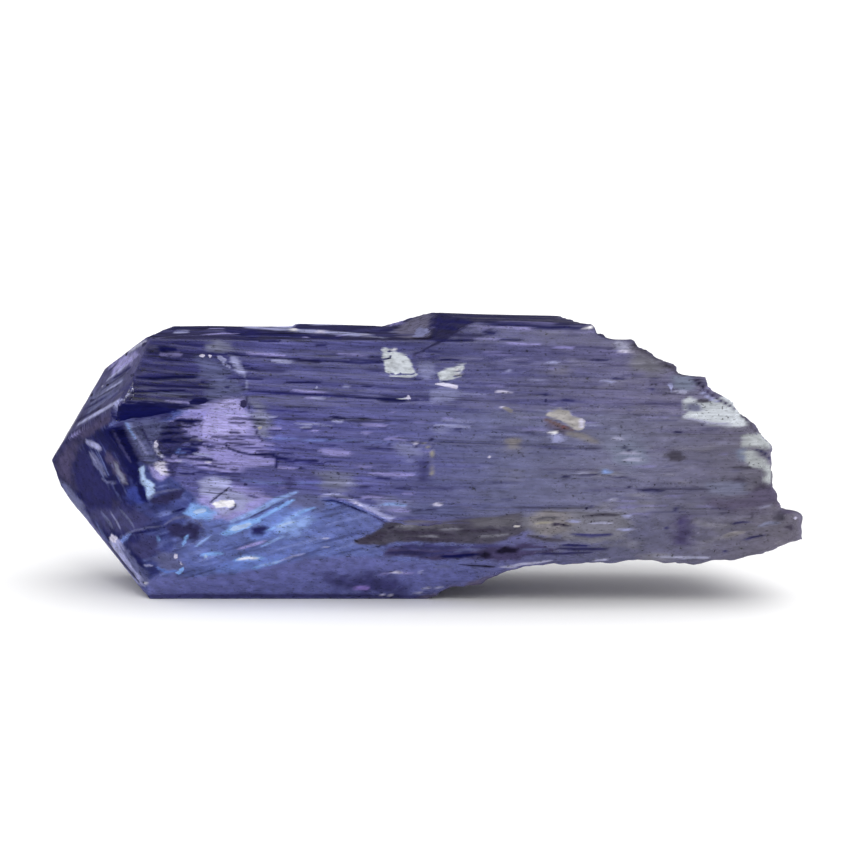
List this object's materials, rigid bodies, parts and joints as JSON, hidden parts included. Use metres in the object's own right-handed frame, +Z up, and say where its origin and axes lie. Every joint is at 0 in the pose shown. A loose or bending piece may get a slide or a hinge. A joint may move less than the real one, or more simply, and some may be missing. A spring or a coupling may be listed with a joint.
{
  "type": "rough tanzanite crystal",
  "caption": "Rough blue-violet tanzanite crystal lying on its side: striated prism, glassy chisel termination at one end, broken end at the other.",
  "frame": {"origin": "middle of the bounding box's footprint, on the surface that the stone rests on", "axes": "+X along the prism from the termination to the broken end, -Y out of the front face, +Z up"},
  "size_m": [0.032, 0.0074, 0.0121],
  "materials": {
    "tanzanite": "translucent blue-violet zoisite, vitreous on the termination and fractures, striated along the prism, with small white, cream and brown patches"
  },
  "bodies": {
    "root": {"tanzanite_crystal": "tanzanite"}
  },
  "joints": []
}
